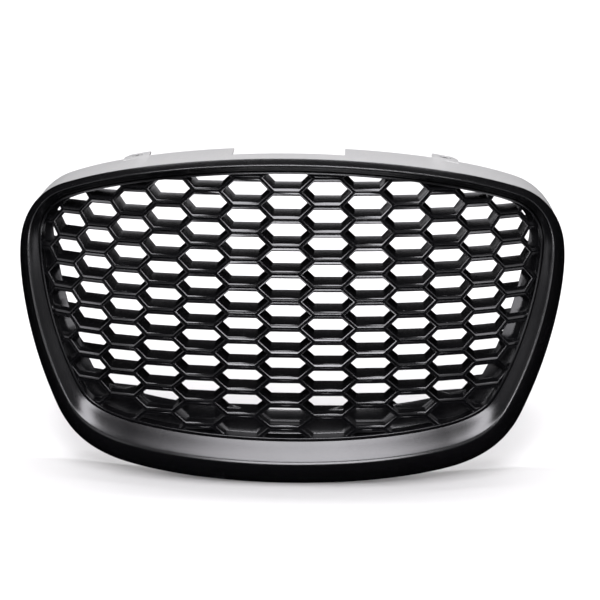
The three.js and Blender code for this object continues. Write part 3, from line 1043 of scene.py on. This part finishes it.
class GRILLE_OT_carrier(bpy.types.Operator):
    """Make the carrier frame with its notch, mounting tabs and locating tongues"""

    bl_idname = "grille.make_carrier"
    bl_label = "Make Carrier Frame"

    def execute(self, context):
        ring = ring_object("carrier", ring_stations(HALF_STATIONS, DIRECTION_REACH), carrier_section)
        start = face_depth(NOTCH_HALF_WIDTH, RIDGE_START[1]) + NOTCH_DEPTH
        middle = to_frame((0, start + NOTCH_CUT / 2, NOTCH_BOTTOM + NOTCH_CUT / 2))
        size = Vector((2 * NOTCH_HALF_WIDTH, NOTCH_CUT, NOTCH_CUT)) * MM
        combine(ring, box_object("notch", size, Matrix.Translation(middle)), "DIFFERENCE")
        stations = ring_stations(CAD_HALF_STATIONS, 1)
        for side in (-1, 1):
            combine(ring, tab_object(stations, side), "UNION")
            combine(ring, tongue_object(side), "UNION")
        for place in screw_places():
            hole_front, hole_back = place.boss_end - CUT_OVERRUN, place.seat + CUT_OVERRUN
            combine(ring, pin_object("hole", place, hole_front, hole_back, CLEARANCE_RADIUS), "DIFFERENCE")
        smooth_shaded(ring)
        hand_over(ring, carrier_plastic(context.scene.grille_colours), "carrier_grey", "carrier_frame")
        return {"FINISHED"}


def hexagon(sizes, bar, diagonal):
    """Six corners of a cell drawn in from the level and the slanting edges, in metres."""
    half = sizes.row_pitch / 2
    run = sizes.column_pitch - 2 * sizes.flat_half_length
    slant = math.hypot(run, half)
    top = sizes.flat_half_length + (bar * run - diagonal * slant) / half
    side = sizes.column_pitch - sizes.flat_half_length - diagonal * slant / half
    high = half - bar
    return [(top, high), (side, 0), (top, -high), (-top, -high), (-side, 0), (-top, high)]


# Rim of a cell from the groove to the wall: shares of the half width of a level and of a slanting bar, and
# depth in millimetres. The first row is the bottom of the groove.
RIM = (
    (0.0, 0.0, None),
    (0.13, 0.40, 0.7),
    (0.17, 0.46, 0.2),
    (0.22, 0.52, 0.0),
    (0.66, 0.70, 0.10),
    (0.84, 0.84, 0.32),
    (0.94, 0.94, 0.68),
    (1.0, 1.0, 1.5),
)


def cell_object(sizes, hollow_front, rear):
    """One cell: groove, rounded rim, drafted wall and the hollow behind the rib."""
    rings = []
    for level, slanting, depth in RIM:
        depth = sizes.groove_depth if depth is None else depth * MM
        corners = hexagon(sizes, sizes.bar_half_height * level, sizes.diagonal_half_width * slanting)
        rings.append([(x, depth, z) for x, z in corners])
    wall = hexagon(
        sizes, sizes.bar_half_height + sizes.draft_bar, sizes.diagonal_half_width + sizes.draft_diagonal
    )
    rings.append([(x, rear, z) for x, z in wall])
    rings.append([(x, hollow_front, z) for x, z in hexagon(sizes, 0, 0)])
    bm = bmesh.new()
    loops = [[bm.verts.new(p) for p in ring] for ring in rings]
    for here, after in zip(loops, loops[1:]):
        bridge(bm, here, after)
    return linked_object("honeycomb", bm)


def turn_outwards(made):
    """Turns the faces of a finished closed mesh outwards."""
    bm = bmesh.new()
    bm.from_mesh(made.data)
    face_outwards(bm)
    bm.to_mesh(made.data)
    bm.free()


class GRILLE_OT_honeycomb(bpy.types.Operator):
    """Make the honeycomb insert with its lip, blanked border and clamping flange"""

    bl_idname = "grille.make_honeycomb"
    bl_label = "Make Honeycomb Insert"

    def execute(self, context):
        sizes = context.scene.grille_sizes
        material = mesh_plastic(context.scene.grille_colours)
        hollow_front = HOLLOW_FRONT * MM
        comb = cell_object(sizes, hollow_front, MESH_DEPTH * MM)
        run_tree(comb, lattice_tree(), {
            "Column Pitch": sizes.column_pitch,
            "Row Pitch": sizes.row_pitch,
            "Columns Each Side": sizes.columns_each_side,
            "Rows Each Side": sizes.rows_each_side,
            "Groove Depth": sizes.groove_depth,
            "Hollow Front": hollow_front,
            "Rear Depth": MESH_DEPTH * MM,
            "Rear Growth": MESH_DEPTH_GROWTH / SURFACE_UNIT,
            "Material": material,
        })
        comb.data.transform(Matrix.Translation(SHIFT))
        turn_outwards(comb)
        stations = ring_stations(HALF_STATIONS, DIRECTION_REACH)
        outline = [(s.point - s.out * (s.cove + SEAM_GAP + SKIRT_WALL / 2)) * MM for s in stations]
        upright = Matrix.Translation(to_frame((0, TRIM_BACK, 0))) @ Matrix.Rotation(math.pi / 2, 4, "X")
        combine(comb, prism_object("trim", outline, TRIM_LENGTH * MM, upright), "INTERSECT")
        combine(comb, ring_object("basket", stations, basket_section), "UNION")
        places = screw_places()
        for place in places:
            seat = pin_object("seat", place, place.face + WEB_BACK, place.seat, SEAT_RADIUS)
            combine(seat, ring_object("web", stations, web_space_section), "DIFFERENCE")
            combine(comb, seat, "UNION")
        for place in places:
            hole_front, hole_back = place.boss_end + CUT_OVERRUN, place.seat + CUT_OVERRUN
            combine(comb, pin_object("hole", place, hole_front, hole_back, CLEARANCE_RADIUS), "DIFFERENCE")
        keep_largest(comb)
        smooth_shaded(comb, angle=34)
        hand_over(comb, material, "mesh_black", "honeycomb_mesh")
        return {"FINISHED"}


def keep_largest(made):
    """Keeps the largest body and drops what trimming leaves loose."""
    bm = bmesh.new()
    bm.from_mesh(made.data)
    seen, islands = set(), []
    for start in bm.verts:
        if start in seen:
            continue
        island, stack = [], [start]
        seen.add(start)
        while stack:
            v = stack.pop()
            island.append(v)
            for e in v.link_edges:
                other = e.other_vert(v)
                if other not in seen:
                    seen.add(other)
                    stack.append(other)
        islands.append(island)
    islands.sort(key=len)
    for island in islands[:-1]:
        bmesh.ops.delete(bm, geom=island, context="VERTS")
    bm.to_mesh(made.data)
    bm.free()


def screw_object():
    """A pan-head tapping screw along Y, with a cross recess; its head's seat is at the origin."""
    tip = FREE_GAP - SCREW_LENGTH
    profile = [(0.0, tip), (SCREW_TIP_RADIUS, tip + SCREW_TIP_LENGTH)]
    y = tip + THREAD_START
    root = SCREW_SHANK_RADIUS - THREAD_DEPTH
    while y < FREE_GAP - THREAD_END:
        profile += [(root, y), (SCREW_SHANK_RADIUS, y + THREAD_PITCH / 2)]
        y += THREAD_PITCH
    top = FREE_GAP + SCREW_HEAD_HEIGHT
    edge = SCREW_HEAD_RADIUS
    profile += [
        (root, FREE_GAP), (edge - 0.15, FREE_GAP), (edge, FREE_GAP + 0.2), (edge, FREE_GAP + 1.1),
        (edge * 0.93, FREE_GAP + 1.75), (edge * 0.75, FREE_GAP + 2.3), (edge * 0.45, top - 0.08), (0.0, top),
    ]
    bm = bmesh.new()
    angles = [2 * math.pi * k / SCREW_SIDES for k in range(SCREW_SIDES)]
    rings = []
    for r, y in profile:
        if r == 0:
            rings.append([bm.verts.new((0, y * MM, 0))])
        else:
            rings.append([bm.verts.new((r * MM * math.cos(a), y * MM, r * MM * math.sin(a))) for a in angles])
    for here, after in zip(rings, rings[1:]):
        for k in range(SCREW_SIDES):
            n = (k + 1) % SCREW_SIDES
            if len(here) == 1:
                bm.faces.new((here[0], after[n], after[k]))
            elif len(after) == 1:
                bm.faces.new((here[k], here[n], after[0]))
            else:
                bm.faces.new((here[k], here[n], after[n], after[k]))
    screw = closed_object("screw", bm)
    for turn in (0, math.pi / 2):
        matrix = Matrix.Translation((0, (top - CROSS_DROP) * MM, 0)) @ Matrix.Rotation(turn, 4, "Y")
        combine(screw, box_object("cross", Vector(CROSS_SIZE) * MM, matrix), "DIFFERENCE")
    smooth_shaded(screw, angle=40)
    return screw


class GRILLE_OT_screws(bpy.types.Operator):
    """Put a pan-head screw in each of the clamping seats"""

    bl_idname = "grille.make_screws"
    bl_label = "Make Screws"

    def execute(self, context):
        mesh = bpy.data.meshes.new("screws")
        mesh.from_pydata([to_frame((p.x, p.seat, p.z)) for p in screw_places()], [], [])
        screws = bpy.data.objects.new("screws", mesh)
        context.scene.collection.objects.link(screws)
        shape = screw_object()
        material = screw_steel(context.scene.grille_colours)
        run_tree(screws, screw_tree(), {"Screw": shape, "Material": material})
        discard(shape)
        nodes = sorted(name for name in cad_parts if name.startswith("screw_"))
        hand_over(screws, material, "screw_steel", *nodes)
        return {"FINISHED"}


# ---------------------------------------------------------------- stage


def soft_box(name, place, target, size, radiance):
    """A rectangular light given by its radiance, which the camera doesn't see."""
    light = bpy.data.lights.new(name, "AREA")
    light.shape = "RECTANGLE"
    light.size, light.size_y = size
    light.energy = radiance * math.pi * size[0] * size[1]
    light.color = LIGHT_COLOUR
    lamp = bpy.data.objects.new(name, light)
    lamp.location = place
    lamp.rotation_mode = "QUATERNION"
    lamp.rotation_quaternion = (Vector(target) - Vector(place)).to_track_quat("-Z", "Y")
    lamp.visible_camera = False
    bpy.context.scene.collection.objects.link(lamp)


def studio_floor(material):
    """A round floor with a sweep that rises into a wall. Only the lights show in reflections, so that the
    black pieces keep their depth."""
    rises = [math.pi / (2 * BEND_STEPS) * k for k in range(1, BEND_STEPS + 1)]
    bend = [(math.sin(a), 1 - math.cos(a)) for a in rises]
    profile = [(0.0, 0.0), (FLOOR_RADIUS, 0.0), (SWEEP_RADIUS, 0.0)]
    profile += [(SWEEP_RADIUS + SWEEP_BEND * x, SWEEP_BEND * h) for x, h in bend]
    profile.append((SWEEP_RADIUS + SWEEP_BEND, SWEEP_BEND + WALL_HEIGHT))
    bm = bmesh.new()
    angles = [2 * math.pi * k / FLOOR_SIDES for k in range(FLOOR_SIDES + 1)]
    rings = [
        [bm.verts.new((r * math.cos(a), r * math.sin(a), CAD_BOX[0].z + h)) for a in angles]
        for r, h in profile
    ]
    for here, after in zip(rings, rings[1:]):
        for k in range(FLOOR_SIDES):
            bm.faces.new((here[k], after[k], after[k + 1], here[k + 1]))
    bmesh.ops.remove_doubles(bm, verts=bm.verts, dist=FLOOR_WELD)
    floor = linked_object("studio_floor", bm)
    floor.data.shade_smooth()
    floor.data.materials.append(material)
    floor.visible_glossy = False


class GRILLE_OT_stage(bpy.types.Operator):
    """Set up the floor, the soft lights and the camera"""

    bl_idname = "grille.make_stage"
    bl_label = "Make Stage"

    def execute(self, context):
        scene = context.scene
        studio_floor(floor_paint(scene.grille_colours))
        world = bpy.data.worlds.new("soft_studio")
        scene.world = world
        world.use_nodes = True
        sky = world.node_tree.nodes["Background"]
        sky.inputs["Color"].default_value = (1, 1, 1, 1)
        sky.inputs["Strength"].default_value = WORLD_STRENGTH
        world.cycles_visibility.glossy = False
        scene.view_settings.view_transform = "Standard"
        for light in LIGHTS:
            soft_box(*light)
        camera = bpy.data.cameras.new("camera")
        camera.lens = CAMERA_LENS
        camera.sensor_width = SENSOR_WIDTH
        eye = bpy.data.objects.new("camera", camera)
        eye.location = to_frame(CAMERA_PLACE)
        eye.rotation_mode = "QUATERNION"
        eye.rotation_quaternion = (to_frame(CAMERA_TARGET) - eye.location).to_track_quat("-Z", "Y")
        scene.collection.objects.link(eye)
        scene.camera = eye
        return {"FINISHED"}


# ---------------------------------------------------------------- add-on


PIECES = (GRILLE_OT_stage, GRILLE_OT_bezel, GRILLE_OT_carrier, GRILLE_OT_honeycomb, GRILLE_OT_screws)


class GRILLE_PT_panel(bpy.types.Panel):
    """Buttons and sizes for the grille"""

    bl_idname = "GRILLE_PT_panel"
    bl_label = "Front Grille"
    bl_space_type = "VIEW_3D"
    bl_region_type = "UI"
    bl_category = "Grille"

    def draw(self, context):
        for operator in PIECES:
            self.layout.operator(operator.bl_idname)
        for group in (context.scene.grille_sizes, context.scene.grille_colours):
            box = self.layout.box()
            for name in group.bl_rna.properties.keys():
                if name not in {"rna_type", "name"}:
                    box.prop(group, name)


CLASSES = (GrilleSizes, GrilleColours, *PIECES, GRILLE_PT_panel)


def register():
    for cls in CLASSES:
        bpy.utils.register_class(cls)
    bpy.types.Scene.grille_sizes = PointerProperty(type=GrilleSizes)
    bpy.types.Scene.grille_colours = PointerProperty(type=GrilleColours)


def unregister():
    del bpy.types.Scene.grille_colours
    del bpy.types.Scene.grille_sizes
    for cls in reversed(CLASSES):
        bpy.utils.unregister_class(cls)


def main():
    register()
    bpy.ops.grille.make_stage()
    bpy.ops.grille.make_bezel()
    bpy.ops.grille.make_carrier()
    bpy.ops.grille.make_honeycomb()
    bpy.ops.grille.make_screws()


if __name__ == "__main__":
    main()
